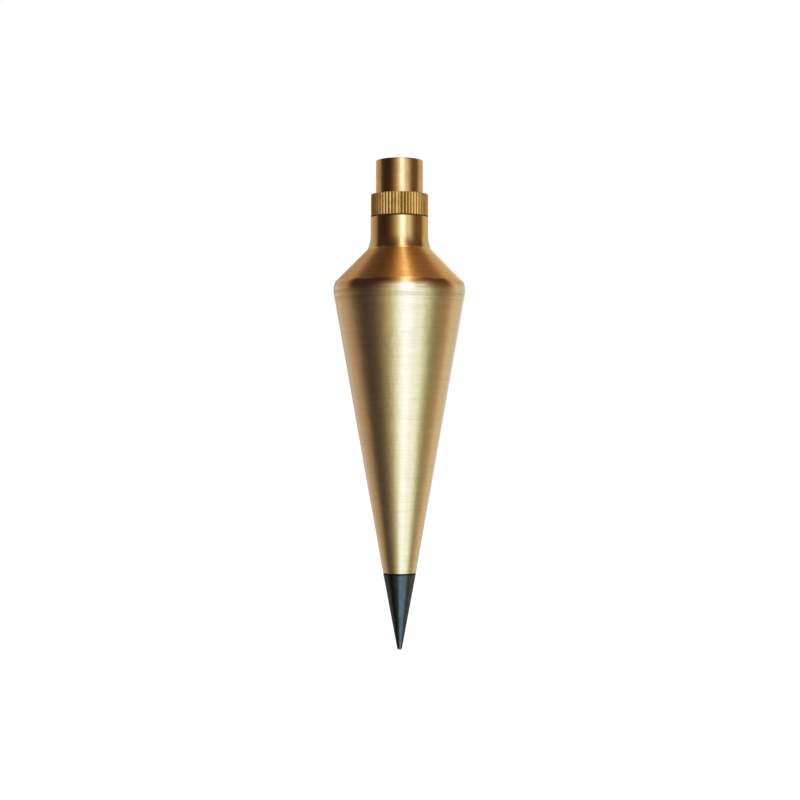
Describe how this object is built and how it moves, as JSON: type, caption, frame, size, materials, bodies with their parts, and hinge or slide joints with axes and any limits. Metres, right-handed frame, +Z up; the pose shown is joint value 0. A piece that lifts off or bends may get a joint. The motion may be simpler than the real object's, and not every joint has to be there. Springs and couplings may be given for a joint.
{
  "type": "plumb bob",
  "caption": "Surveyor's brass plumb bob: a turned conical weight with a knurled screw cap that holds the line and a replaceable steel point.",
  "frame": {"origin": "centre of the cap's top face, at the mouth of the line hole that the bob hangs from", "axes": "+Z up along the bob's axis, from the steel tip towards the line; X and Y are any two square directions, because the bob is turned"},
  "size_m": [0.0382, 0.0382, 0.1411],
  "materials": {
    "polished_brass": "polished",
    "satin_brass": "satin",
    "blackened_steel": "satin"
  },
  "bodies": {
    "cap": {"cap": "polished_brass"},
    "weight": {"weight": "satin_brass"},
    "point": {"point": "blackened_steel"}
  },
  "joints": [
    {"name": "weight_unscrew", "type": "slide", "parent": "cap", "child": "weight", "axis": [0, 0, -1], "range_m": [0, 0.015]},
    {"name": "point_unscrew", "type": "slide", "parent": "weight", "child": "point", "axis": [0, 0, -1], "range_m": [0, 0.013]}
  ]
}
